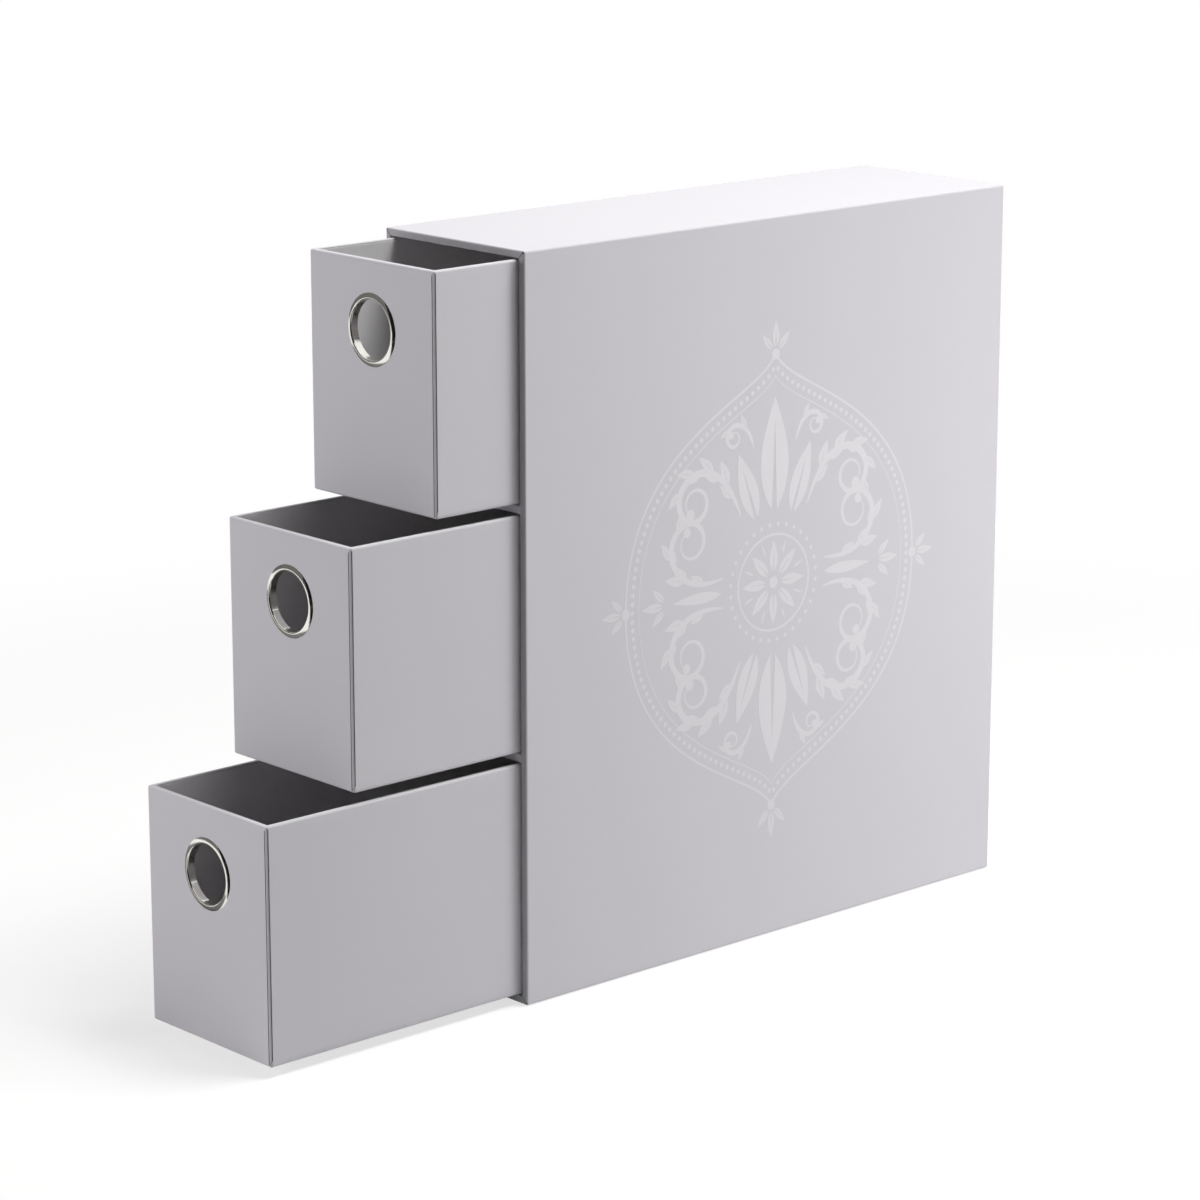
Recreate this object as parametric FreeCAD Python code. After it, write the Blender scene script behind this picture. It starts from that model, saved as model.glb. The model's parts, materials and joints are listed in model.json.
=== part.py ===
import FreeCAD, Part
import math
import os

# Upright slipcase of paper-wrapped greyboard with three open drawers, one above another.
# Millimetres. X across the narrow face, Y from front to back, Z up.
# Origin: centre of the underside. The mouth faces -Y.

# ---- driving sizes ------------------------------------------------------

# clear room inside one drawer, for a row of standard cards
card_room_width = 74.1
card_room_length = 276.0
card_room_height = 98.1

# thickness of each sheet
wrap_paper = 0.2
liner_card = 0.4
wall_board = 2.8
carrying_board = 3.2
drawer_board = 2.0
base_sheet = 0.3
strip_paper = 0.1

# clearances of a drawer in its bay
side_gap = 0.7
gap_below = 0.3
gap_above = 0.5
gap_behind = 1.0

# how far each drawer stands out of the mouth, from the lowest up
drawers_out = {"bottom_drawer": 132.2, "middle_drawer": 87.9, "top_drawer": 43.6}

# folds and edges of the papers
mouth_turn_in = 15.0
rim_turn_in = 12.0
liner_setback = 1.0
liner_drop = 0.9
base_sheet_margin = 1.5

# radii of the outer edges, over the paper
casing_edge = 1.0
shelf_edge = 0.5
drawer_edge = 1.2
rim_edge = 0.9

# corner strip of a drawer: the part that shows between the front and side papers
strip_on_front = 1.15
strip_on_side = 0.55
strip_foot = 1.1
strip_mitre_rise = 2.1
strip_head = 1.6

# finger ring of sheet metal, set through the drawer front
ring_diameter = 30.4
ring_roll = 1.3
ring_rise = 0.7
ring_roll_sides = 4
ring_sheet = 0.35
ring_collar = 1.9
ring_hole_gap = 0.1
ring_drop = 28.6

# ---- sizes that follow --------------------------------------------------

over = 1.0  # how far a cutting shape runs past what it cuts

drawer_wall = wrap_paper + drawer_board + liner_card
drawer_width = card_room_width + 2 * drawer_wall
drawer_length = card_room_length + 2 * drawer_wall
drawer_height = card_room_height + drawer_wall
tray_half = card_room_width / 2 + liner_card
tray_front = wrap_paper + drawer_board
tray_back = drawer_length - tray_front

wall = wrap_paper + wall_board + liner_card
base = base_sheet + wrap_paper + carrying_board + liner_card
bay_width = drawer_width + 2 * side_gap
bay_height = gap_below + drawer_height + gap_above
bay_pitch = bay_height + carrying_board + 2 * liner_card

casing_width = bay_width + 2 * wall
casing_depth = drawer_length + gap_behind + wall
casing_height = base + len(drawers_out) * bay_pitch - (carrying_board + 2 * liner_card) + wall
mouth = -casing_depth / 2
back = casing_depth / 2

# inner faces of the casing boards
room_half = bay_width / 2 + liner_card
room_floor = base - liner_card
room_ceiling = casing_height - wrap_paper - wall_board
room_back = back - wrap_paper - wall_board

ring_bore = ring_diameter / 2 - 2 * ring_roll
ring_barrel = ring_bore + ring_sheet
ring_hole = ring_barrel + ring_hole_gap
ring_height = drawer_height - ring_drop


# ---- helpers ------------------------------------------------------------

def vector(x, y, z):
    return FreeCAD.Vector(x, y, z)


def block(x0, x1, y0, y1, z0, z1):
    """Box between two corners."""
    return Part.makeBox(x1 - x0, y1 - y0, z1 - z0, vector(x0, y0, z0))


def prism(points, direction):
    """Flat outline pushed along a vector."""
    return Part.Face(Part.makePolygon(points + points[:1])).extrude(direction)


def only_solid(shape):
    """The one solid of a boolean result, with its split faces joined."""
    return shape.removeSplitter().Solids[0]


def bevel(radius):
    """Leg of the flat bevel that touches a rounding of this radius at its middle."""
    return radius * (2 - math.sqrt(2))


def mitred_walls(tube, inner, outer, length):
    """Part a tube into one wall for each side, cut on the planes through its corners.

    inner and outer are the tube's corners, in the same order, at the foot of length."""
    walls = []
    for index in range(len(inner)):
        following = (index + 1) % len(inner)
        beyond = outer[index] + (outer[index] - inner[index])
        beyond_following = outer[following] + (outer[following] - inner[following])
        points = [inner[index], beyond, beyond_following, inner[following]]
        walls.append(only_solid(tube.common(prism(points, length))))
    return walls


def save(name, shape):
    shape.exportStep("parts/" + name + ".step")


# ---- casing -------------------------------------------------------------

def casing_block(skin):
    """Outer form of the casing, sunk by skin below the surface of its paper."""
    body = block(-casing_width / 2 + skin, casing_width / 2 - skin, mouth + skin, back - skin,
                 base_sheet + skin, casing_height - skin)
    lengthwise = [edge for edge in body.Edges if edge.BoundBox.YLength > over]
    across = [edge for edge in body.Edges if edge.BoundBox.YLength < over]
    rounded = body.makeFillet(casing_edge - skin, lengthwise)
    return rounded.common(body.makeChamfer(bevel(casing_edge - skin), across))


def casing_room(inset, front, rear):
    """Room between the side, base and top boards, shrunk all round by inset."""
    return block(-room_half + inset, room_half - inset, front, rear,
                 room_floor + inset, room_ceiling - inset)


def casing_boards():
    """Side boards over the full height, with the base, top and back boards set between them."""
    core = casing_block(wrap_paper).cut(casing_room(0.0, mouth - over, room_back))
    side = block(room_half, casing_width, mouth, back, 0, casing_height)
    between = block(-room_half, room_half, mouth, back, 0, room_floor)
    rise = vector(0, 0, room_ceiling)
    return {
        "right_side_board": only_solid(core.common(side)),
        "left_side_board": only_solid(core.common(side.mirror(vector(0, 0, 0), vector(1, 0, 0)))),
        "base_board": only_solid(core.common(between)),
        "top_board": only_solid(core.common(between.translated(rise))),
        "back_board": casing_room(0.0, room_back, back - wrap_paper),
    }


def casing_wrap(boards):
    """Paper over the casing, turned in round the mouth."""
    turned_in = casing_room(wrap_paper, mouth - over, mouth + mouth_turn_in)
    bare = casing_room(0.0, mouth + mouth_turn_in, room_back)
    return only_solid(casing_block(0.0).cut([turned_in, bare] + boards))


def bay_floor(level):
    """Height of the face that a drawer slides on."""
    return base + level * bay_pitch


def shelf_body(level, cover):
    """Shelf over the bay of this level, grown by cover on its faces and front edge."""
    foot = bay_floor(level) + bay_height + liner_card
    front = mouth + wrap_paper - cover
    body = block(-room_half, room_half, front, room_back,
                 foot - cover, foot + carrying_board + cover)
    nose = [edge for edge in body.Edges
            if edge.BoundBox.XLength > over and edge.BoundBox.YMax < front + over]
    return body.makeFillet(shelf_edge - wrap_paper + cover, nose)


def shelf_board(level, wrap):
    return only_solid(shelf_body(level, 0.0).cut(wrap))


def shelf_edging(level, wrap):
    """Paper folded over the front edge of a shelf."""
    paper = shelf_body(level, wrap_paper).cut(shelf_body(level, 0.0))
    behind = block(-room_half - over, room_half + over, mouth + mouth_turn_in, back, 0, casing_height)
    return only_solid(paper.cut([behind, wrap]))


def bay_liner(level, papers):
    """Dark lining of one bay, laid over the turned-in papers."""
    floor = bay_floor(level)
    lining = block(-room_half, room_half, mouth + liner_setback, room_back,
                   floor - liner_card, floor + bay_height + liner_card)
    clear = block(-bay_width / 2, bay_width / 2, mouth, room_back - liner_card,
                  floor, floor + bay_height)
    return only_solid(lining.cut([clear] + papers))


def casing_base_sheet():
    """Sheet pasted under the base, which meets the table."""
    half = casing_width / 2 - base_sheet_margin
    return block(-half, half, mouth + base_sheet_margin, back - base_sheet_margin, 0, base_sheet)


# ---- drawer -------------------------------------------------------------
# Each drawer is made with its front face at y = 0 and its underside at z = 0.

def drawer_block(skin):
    """Outer form of a drawer, sunk by skin below the surface of its paper."""
    half = drawer_width / 2 - skin
    rim = drawer_height - skin
    body = block(-half, half, skin, drawer_length - skin, skin, rim)
    upright = [edge for edge in body.Edges if edge.BoundBox.ZLength > over]
    foot = [edge for edge in body.Edges if edge.BoundBox.ZMax < skin + over]
    top = [edge for edge in body.Edges if edge.BoundBox.ZMin > rim - over]
    rounded = body.makeFillet(drawer_edge - skin, upright)
    rounded = rounded.common(body.makeChamfer(bevel(drawer_edge - skin), foot))
    return rounded.common(body.makeChamfer(bevel(rim_edge - skin), top))


def drawer_room(inset, floor, ceiling):
    """Room between the drawer boards, shrunk by inset from each wall."""
    return block(-tray_half + inset, tray_half - inset, tray_front + inset, tray_back - inset,
                 floor, ceiling)


def ring_cutter():
    """Round hole for the finger ring, through everything at the drawer front."""
    return Part.makeCylinder(ring_hole, drawer_wall + 2 * over,
                             vector(0, -over, ring_height), vector(0, 1, 0))


def drawer_boards():
    """Four mitred walls and the floor panel set between them."""
    tray = drawer_block(wrap_paper).cut(drawer_room(0.0, -over, drawer_height + over))
    outer_half = tray_half + drawer_board
    outer_front = tray_front - drawer_board
    outer_back = tray_back + drawer_board
    inner = [vector(-tray_half, tray_front, 0), vector(tray_half, tray_front, 0),
             vector(tray_half, tray_back, 0), vector(-tray_half, tray_back, 0)]
    outer = [vector(-outer_half, outer_front, 0), vector(outer_half, outer_front, 0),
             vector(outer_half, outer_back, 0), vector(-outer_half, outer_back, 0)]
    names = ["front_board", "right_board", "rear_board", "left_board"]
    walls = mitred_walls(tray, inner, outer, vector(0, 0, drawer_height))
    boards = dict(zip(names, walls))
    boards["front_board"] = only_solid(boards["front_board"].cut(ring_cutter()))
    boards["floor_board"] = drawer_room(0.0, wrap_paper, wrap_paper + drawer_board)
    return boards


def strip_zones():
    """Places at the four upright corners where the corner strips show."""
    inward = drawer_width / 2 - strip_on_front
    outward = drawer_width / 2 + over
    head = drawer_height - strip_head
    reach = vector(0, over + strip_on_side, 0)
    points = [vector(inward, -over, strip_foot), vector(outward, -over, strip_foot + strip_mitre_rise),
              vector(outward, -over, head), vector(inward, -over, head)]
    right = prism(points, reach)
    left = right.mirror(vector(0, 0, 0), vector(1, 0, 0))
    front = [right, left]
    middle = vector(0, drawer_length / 2, 0)
    return front + [zone.mirror(middle, vector(0, 1, 0)) for zone in front]


def drawer_wrap(boards):
    """Paper over a drawer, turned in over the rim and slit at the upright corners."""
    fold = drawer_height - rim_turn_in
    turned_in = drawer_room(wrap_paper, fold, drawer_height + over)
    bare = drawer_room(0.0, wrap_paper + drawer_board, fold)
    slits = strip_zones()
    return only_solid(drawer_block(0.0).cut([turned_in, bare, ring_cutter()] + slits + boards))


def corner_strips():
    """The four strips that show in the slits of the wrap."""
    skin = drawer_block(wrap_paper - strip_paper).cut(drawer_block(wrap_paper))
    return Part.makeCompound([only_solid(skin.common(zone)) for zone in strip_zones()])


def drawer_liner(wrap):
    """Dark lining of a drawer, laid over the turned-in paper."""
    floor = wrap_paper + drawer_board
    lining = drawer_room(0.0, floor, drawer_height - liner_drop)
    clear = drawer_room(liner_card, floor + liner_card, drawer_height)
    return only_solid(lining.cut([clear, wrap, ring_cutter()]))


def finger_ring():
    """Domed flange in front, straight barrel and flat collar set down on the liner."""
    crest = vector(ring_bore + ring_roll, 0, 0)
    outline = []
    for side in range(ring_roll_sides + 1):
        angle = math.pi * side / ring_roll_sides
        outline.append(crest + vector(ring_roll * math.cos(angle), -ring_rise * math.sin(angle), 0))
    rear = drawer_wall + ring_sheet
    outline += [vector(ring_bore, rear, 0), vector(ring_bore + ring_collar, rear, 0),
                vector(ring_bore + ring_collar, drawer_wall, 0), vector(ring_barrel, drawer_wall, 0),
                vector(ring_barrel, 0, 0)]
    profile = Part.Face(Part.makePolygon(outline + outline[:1]))
    ring = profile.revolve(vector(0, 0, 0), vector(0, 1, 0), 360)
    return ring.translated(vector(0, 0, ring_height))


def drawer_pieces():
    boards = drawer_boards()
    wrap = drawer_wrap(list(boards.values()))
    pieces = dict(boards)
    pieces["wrap"] = wrap
    pieces["corner_strips"] = corner_strips()
    pieces["liner"] = drawer_liner(wrap)
    pieces["finger_ring"] = finger_ring()
    return pieces


# ---- assembly -----------------------------------------------------------

def casing_pieces():
    boards = casing_boards()
    wrap = casing_wrap(list(boards.values()))
    pieces = dict(boards)
    pieces["casing_wrap"] = wrap
    pieces["base_sheet"] = casing_base_sheet()
    papers = [wrap]
    for level, name in enumerate(["lower_shelf", "upper_shelf"]):
        pieces[name + "_board"] = shelf_board(level, wrap)
        pieces[name + "_edging"] = shelf_edging(level, wrap)
        papers.append(pieces[name + "_edging"])
    for level, name in enumerate(["bottom_bay", "middle_bay", "top_bay"]):
        pieces[name + "_liner"] = bay_liner(level, papers)
    return pieces


def main():
    os.makedirs("parts", exist_ok=True)
    for name, shape in casing_pieces().items():
        save(name, shape)
    pieces = drawer_pieces()
    for level, (drawer, out) in enumerate(drawers_out.items()):
        place = vector(0, mouth - out, bay_floor(level) + gap_below)
        for name, shape in pieces.items():
            save(drawer + "_" + name, shape.translated(place))


main()
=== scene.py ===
import bmesh
import bpy
import json
import math
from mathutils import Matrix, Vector


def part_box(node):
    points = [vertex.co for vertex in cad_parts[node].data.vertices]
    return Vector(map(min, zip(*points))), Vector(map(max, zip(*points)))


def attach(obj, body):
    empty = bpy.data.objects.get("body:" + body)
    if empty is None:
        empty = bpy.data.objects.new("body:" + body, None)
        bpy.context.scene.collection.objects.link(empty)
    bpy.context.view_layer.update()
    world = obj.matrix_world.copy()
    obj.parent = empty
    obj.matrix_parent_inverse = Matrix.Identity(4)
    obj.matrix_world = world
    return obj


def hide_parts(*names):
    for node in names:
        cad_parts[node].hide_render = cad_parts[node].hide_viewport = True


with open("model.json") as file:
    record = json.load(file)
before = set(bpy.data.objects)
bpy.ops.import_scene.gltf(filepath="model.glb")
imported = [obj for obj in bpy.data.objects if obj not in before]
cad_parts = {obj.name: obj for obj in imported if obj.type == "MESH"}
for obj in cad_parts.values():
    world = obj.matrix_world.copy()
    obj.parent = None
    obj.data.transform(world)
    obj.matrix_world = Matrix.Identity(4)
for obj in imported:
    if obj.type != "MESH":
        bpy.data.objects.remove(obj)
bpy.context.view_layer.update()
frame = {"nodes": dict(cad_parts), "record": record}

mm = 0.001
scene = bpy.context.scene
drawerNames = ["bottom_drawer", "middle_drawer", "top_drawer"]


class Wire:
    # an output socket in a node tree; sums on it add Math nodes, and node() adds any other
    def __init__(self, tree, socket=None):
        self.tree = tree
        self.socket = socket

    def node(self, kind, settings=None, values=None, out=0):
        made = self.tree.nodes.new(kind)
        for name, setting in (settings or {}).items():
            setattr(made, name, setting)
        for name, value in (values or {}).items():
            if isinstance(value, Wire):
                self.tree.links.new(value.socket, made.inputs[name])
            else:
                made.inputs[name].default_value = value
        return Wire(self.tree, made.outputs[out] if len(made.outputs) else None)

    def out(self, name):  # another output of the same node
        return Wire(self.tree, self.socket.node.outputs[name])

    def maths(self, operation, first, second=0.0):
        return self.node("ShaderNodeMath", {"operation": operation}, {0: first, 1: second})

    def __add__(self, other):
        return self.maths("ADD", self, other)

    __radd__ = __add__

    def __mul__(self, other):
        return self.maths("MULTIPLY", self, other)

    __rmul__ = __mul__

    def __sub__(self, other):
        return self.maths("SUBTRACT", self, other)

    def __rsub__(self, other):
        return self.maths("SUBTRACT", other, self)

    def __truediv__(self, other):
        return self.maths("DIVIDE", self, other)


def newMaterial(name):
    # an empty material, its wire and the place of each point on the piece
    material = bpy.data.materials.new(name)
    material.use_nodes = True
    material.node_tree.nodes.clear()
    wire = Wire(material.node_tree)
    return material, wire, wire.node("ShaderNodeTexCoord", out="Object")


def noise(wire, coords, perMetre, detail=2.0, rough=0.5):
    return wire.node("ShaderNodeTexNoise", {},
                     {"Vector": coords, "Scale": perMetre, "Detail": detail, "Roughness": rough})


def blendTones(wire, factor, first, second):
    return wire.node("ShaderNodeMix", {"data_type": "RGBA"}, {0: factor, 6: first, 7: second}, out=2)


def relief(wire, height, strength, distance, under=None):
    # a bump, laid over another one where there is one
    values = {"Height": height, "Strength": strength, "Distance": distance}
    if under:
        values["Normal"] = under
    return wire.node("ShaderNodeBump", {}, values)


def coat(wire, colour, rough, normal, others=None):
    skin = wire.node("ShaderNodeBsdfPrincipled", {},
                     {"Base Color": colour, "Roughness": rough, "Normal": normal, **(others or {})})
    wire.node("ShaderNodeOutputMaterial", {}, {"Surface": skin})


paperLook = {
    "tone": (0.606, 0.586, 0.622, 1),
    "deepTone": (0.585, 0.565, 0.602, 1),
    # the tone of dark seam lines, and of the painted shade on the casing's lip and throat
    "seamAndShadeTone": (0.085, 0.082, 0.085, 1),
    "mottlePerMetre": 35,
    "fibrePerMetre": 1500,
    "fibreShare": 0.55,  # of the clouding, the rest is mottle
    "toothPerMetre": 3200,
    "toothHeight": 0.02 * mm,
    "toothStrength": 0.35,
    "wavePerMetre": 16,
    "waveHeight": 0.12 * mm,
    "waveStrength": 1.0,
    "roughness": 0.52,
    "fibreRoughness": 0.08,
    "seamAndShadeRoughness": 0.2,
    "refraction": 1.45,
}

inkLook = {
    **paperLook,
    "tone": (0.685, 0.665, 0.688, 1),
    "deepTone": (0.660, 0.640, 0.664, 1),
    "mottlePerMetre": 60,
    "toothHeight": 0.012 * mm,
    "roughness": 0.44,
}


def paperLike(name, look):
    material, wire, place = newMaterial(name)
    mottle = noise(wire, place, look["mottlePerMetre"], detail=3.0)
    fibre = noise(wire, place, look["fibrePerMetre"], detail=3.0, rough=0.7)
    # the seamAndShade marks darken the paper: dark seam lines, and painted shade on the casing's lip and
    # throat
    seamAndShade = wire.node("ShaderNodeAttribute", {"attribute_name": "seamAndShade"}, out="Fac")
    cloud = (1 - look["fibreShare"]) * mottle + look["fibreShare"] * fibre
    plain = blendTones(wire, cloud, look["deepTone"], look["tone"])
    colour = blendTones(wire, seamAndShade, plain, look["seamAndShadeTone"])
    tooth = noise(wire, place, look["toothPerMetre"], rough=0.6)
    wave = noise(wire, place, look["wavePerMetre"], detail=1.0)
    fine = relief(wire, tooth, look["toothStrength"], look["toothHeight"])
    broad = relief(wire, wave, look["waveStrength"], look["waveHeight"], fine)
    rough = look["roughness"] + look["fibreRoughness"] * fibre + look["seamAndShadeRoughness"] * seamAndShade
    coat(wire, colour, rough, broad, {"IOR": look["refraction"]})
    return material


liningLook = {
    "tone": (0.70, 0.685, 0.70, 1),
    "deepTone": (0.64, 0.625, 0.64, 1),
    "mottlePerMetre": 60,
    "toothPerMetre": 2600,
    "toothShare": 0.5,
    "toothHeight": 0.02 * mm,
    "toothStrength": 0.4,
    "roughness": 0.6,
    "toothRoughness": 0.1,
}


def greyLining(look):
    material, wire, place = newMaterial("greyLining")
    mottle = noise(wire, place, look["mottlePerMetre"], detail=3.0)
    tooth = noise(wire, place, look["toothPerMetre"], detail=3.0, rough=0.65)
    cloud = (1 - look["toothShare"]) * mottle + look["toothShare"] * tooth
    colour = blendTones(wire, cloud, look["deepTone"], look["tone"])
    rough = look["roughness"] + look["toothRoughness"] * tooth
    coat(wire, colour, rough, relief(wire, tooth, look["toothStrength"], look["toothHeight"]))
    return material


boardLook = {
    "tone": (0.36, 0.34, 0.31, 1),
    "deepTone": (0.27, 0.255, 0.235, 1),
    "pulpPerMetre": 900,
    "pulpHeight": 0.05 * mm,
    "pulpStrength": 0.5,
    "layerPerMetre": 5200,
    "layerShare": 0.3,
    "roughness": 0.8,
    "layerRoughness": 0.1,
}


def rawBoard(look):
    material, wire, place = newMaterial("rawBoard")
    pulp = noise(wire, place, look["pulpPerMetre"], detail=4.0, rough=0.7)
    layer = noise(wire, place, look["layerPerMetre"], detail=1.0)
    cloud = (1 - look["layerShare"]) * pulp + look["layerShare"] * layer
    colour = blendTones(wire, cloud, look["deepTone"], look["tone"])
    rough = look["roughness"] + look["layerRoughness"] * layer
    coat(wire, colour, rough, relief(wire, pulp, look["pulpStrength"], look["pulpHeight"]))
    return material


nickelLook = {
    "tone": (0.95, 0.93, 0.88, 1),
    "dullTone": (0.82, 0.80, 0.74, 1),
    "cloudPerMetre": 240,
    "hairPerMetre": 4000,
    "hairHeight": 0.01 * mm,
    "hairStrength": 0.15,
    "roughness": 0.09,
    "cloudRoughness": 0.06,
    "hairRoughness": 0.05,
}


def nickelPlate(look):
    material, wire, place = newMaterial("nickelPlate")
    cloud = noise(wire, place, look["cloudPerMetre"], detail=3.0)
    hair = noise(wire, place, look["hairPerMetre"])
    colour = blendTones(wire, cloud, look["dullTone"], look["tone"])
    rough = look["roughness"] + look["cloudRoughness"] * cloud + look["hairRoughness"] * hair
    scratches = relief(wire, hair, look["hairStrength"], look["hairHeight"])
    coat(wire, colour, rough, scratches, {"Metallic": 1.0})
    return material


paper = paperLike("lilacPaper", paperLook)
ink = paperLike("pearlInk", inkLook)
lining = greyLining(liningLook)
board = rawBoard(boardLook)
nickel = nickelPlate(nickelLook)
slotFinish = {"lilac_paper": paper, "dark_lining": lining, "greyboard": board, "nickel": nickel}
print("materials made")


def addObject(name, data):
    made = bpy.data.objects.new(name, data)
    scene.collection.objects.link(made)
    return made


def addModifier(made, kind, **settings):
    modifier = made.modifiers.new(kind.lower(), kind)
    for name, setting in settings.items():
        setattr(modifier, name, setting)
    return modifier


def applyModifiers(made):
    # what the modifiers make becomes the object's own plain mesh
    graph = bpy.context.evaluated_depsgraph_get()
    plain = bpy.data.meshes.new_from_object(made.evaluated_get(graph))
    made.modifiers.clear()
    made.data = plain
    plain.name = made.name


def settle(made, sharpAngle):
    # bends shade smooth, edges over an angle stay sharp, and the modifiers are applied
    addModifier(made, "WEIGHTED_NORMAL", keep_sharp=True)
    for face in made.data.polygons:
        face.use_smooth = True
    made.data.set_sharp_from_angle(angle=math.radians(sharpAngle))
    applyModifiers(made)


def finishPiece(made, material, body, replaced=()):
    made.data.materials.clear()
    made.data.materials.append(material)
    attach(made, body)
    if replaced:
        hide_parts(*replaced)


# papers are skins of rows of points round a box, and share these

skinBits = {
    "thickness": 0.15 * mm,
    "weld": 0.0005 * mm,
    "sharpAngle": 40,
}


def roundLoop(low, high, radius, stations):
    # points round a rectangle; a station under 0 or over 1 lies that far along the flat beside a corner
    points = []
    centres = [(low[0] + radius, low[1] + radius), (high[0] - radius, low[1] + radius),
               (high[0] - radius, high[1] - radius), (low[0] + radius, high[1] - radius)]
    for corner, centre in enumerate(centres):
        for station in stations[corner]:
            turn = min(max(station, 0), 1)
            angle = math.pi + (corner + turn) * math.pi / 2
            past = station - turn
            points.append((centre[0] + radius * math.cos(angle) - past * math.sin(angle),
                           centre[1] + radius * math.sin(angle) + past * math.cos(angle)))
    return points


def skinMesh(name, rows, rowMarks):
    # rows of points with a mark for each, for dark seam lines and painted shade; the first row is closed by
    # a flat cap and the last left open, and the sheet gets its thickness on the inside
    mesh = bpy.data.meshes.new(name)
    bm = bmesh.new()
    layer = bm.verts.layers.float.new("seamAndShade")
    grid = []
    for row, marks in zip(rows, rowMarks):
        line = [bm.verts.new(point) for point in row]
        for vert, mark in zip(line, marks):
            vert[layer] = mark
        grid.append(line)
    bm.faces.new(list(reversed(grid[0])))
    count = len(grid[0])
    for lower, upper in zip(grid, grid[1:]):
        for place in range(count):
            after = (place + 1) % count
            bm.faces.new([lower[place], lower[after], upper[after], upper[place]])
    bmesh.ops.remove_doubles(bm, verts=bm.verts, dist=skinBits["weld"])
    bm.to_mesh(mesh)
    bm.free()
    made = addObject(name, mesh)
    addModifier(made, "SOLIDIFY", thickness=skinBits["thickness"], offset=-1)
    return made


casingSizes = {
    "paper": 0.2 * mm,
    "edge": 1.0 * mm,
    "lipEdge": 0.3 * mm,
    "leastRadius": 0.05 * mm,
    "turnIn": 15.0 * mm,
    "printRoom": 0.05 * mm,  # the broad side lies this far in, so that its print ends flush
    "steps": 8,
    "mitreHalf": 0.16 * mm,
    "mitreFade": 0.05 * mm,
    # painted shade: the lip is darkened where the drawers shade it, and the throat inside the mouth where
    # the gap beside the drawers lies in shade
    "lipPaintedShade": 0.36,
    "lipFrom": 0.4,  # how far round the front bend the lip's shade sets in
    "throatShade": 0.85,
    "throatDepth": 1.2 * mm,
}


def makeCasingPaper():
    size = casingSizes
    low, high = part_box("casing_wrap")
    high.x -= size["printRoom"]
    roomLow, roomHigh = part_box("back_board")
    roomLow = Vector((roomLow.x + size["paper"], 0, roomLow.z + size["paper"]))
    roomHigh = Vector((roomHigh.x - size["paper"], 0, roomHigh.z - size["paper"]))
    arcSteps = [step / size["steps"] for step in range(size["steps"] + 1)]
    # shares of a bend's radius still to go and gone by, from one face round to the next
    bend = [(1 - math.sin(step * math.pi / 2), 1 - math.cos(step * math.pi / 2)) for step in arcSteps]
    mitre = size["mitreHalf"]
    past = mitre + size["mitreFade"]
    stations = [[-past, -mitre] + arcSteps + [1 + mitre, 1 + past]] * 4
    plainMarks = [0.0] * (len(stations[0]) * 4)
    # the lip's marks: painted shade along its flats and dark mitre seam lines round its corners; the
    # throat's marks: painted shade all round
    lipMarks = ([size["lipPaintedShade"]] + [1.0] * (len(stations[0]) - 2) + [size["lipPaintedShade"]]) * 4
    throatMarks = [size["throatShade"]] * len(lipMarks)
    rows = []
    rowMarks = []

    def addRow(lowCorner, highCorner, radius, depth, marks):
        loop = roundLoop((lowCorner.x, lowCorner.z), (highCorner.x, highCorner.z), radius, stations)
        rows.append([Vector((across, depth, up)) for across, up in loop])
        rowMarks.append(marks)

    def addOuter(inset, depth, marks):
        shrink = Vector((inset, 0, inset))
        addRow(low + shrink, high - shrink, max(size["edge"] - inset, size["leastRadius"]), depth, marks)

    for toGo, gone in bend:
        addOuter(size["edge"] * toGo, high.y - size["edge"] * gone, plainMarks)
    for step, (toGo, gone) in zip(arcSteps, bend):
        marks = lipMarks if step > size["lipFrom"] else plainMarks
        addOuter(size["edge"] * gone, low.y + size["edge"] * toGo, marks)
    for toGo, gone in bend:
        swell = size["lipEdge"] * toGo
        grow = Vector((swell, 0, swell))
        depth = low.y + size["lipEdge"] * gone
        addRow(roomLow - grow, roomHigh + grow, size["leastRadius"], depth, lipMarks)
    # the throat's rows carry painted shade
    for depth in (size["throatDepth"], size["turnIn"]):
        addRow(roomLow, roomHigh, size["leastRadius"], low.y + depth, throatMarks)
    made = skinMesh("casingPaper", rows, rowMarks)
    settle(made, skinBits["sharpAngle"])
    finishPiece(made, paper, "casing", ["casing_wrap"])


makeCasingPaper()
print("casing paper made")


# node trees have a named input for each size and one for the finish

def newTree(name, sizes):
    tree = bpy.data.node_groups.new(name, "GeometryNodeTree")
    tree.interface.new_socket("Geometry", in_out="OUTPUT", socket_type="NodeSocketGeometry")
    for label, value in sizes.items():
        socket = tree.interface.new_socket(label, in_out="INPUT", socket_type="NodeSocketFloat")
        socket.default_value = value
    tree.interface.new_socket("Finish", in_out="INPUT", socket_type="NodeSocketMaterial")
    wire = Wire(tree)
    return wire, wire.node("NodeGroupInput")


def closeTree(wire, given, geometry):
    real = wire.node("GeometryNodeRealizeInstances", {}, {"Geometry": geometry})
    dressed = wire.node("GeometryNodeSetMaterial", {}, {"Geometry": real, "Material": given.out("Finish")})
    wire.node("NodeGroupOutput", {}, {"Geometry": dressed})
    return wire.tree


def treePiece(name, tree, finish, putInPlace, weld):
    # what a tree makes, as a plain mesh in its place, with its doubles merged and its faces outwards
    made = addObject(name, bpy.data.meshes.new(name))
    modifier = addModifier(made, "NODES", node_group=tree)
    modifier[tree.interface.items_tree["Finish"].identifier] = finish
    applyModifiers(made)
    for vert in made.data.vertices:
        vert.co = putInPlace(vert.co)
    bm = bmesh.new()
    bm.from_mesh(made.data)
    bmesh.ops.remove_doubles(bm, verts=bm.verts, dist=weld)
    bmesh.ops.recalc_face_normals(bm, faces=bm.faces)
    bm.to_mesh(made.data)
    bm.free()
    return made


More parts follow.
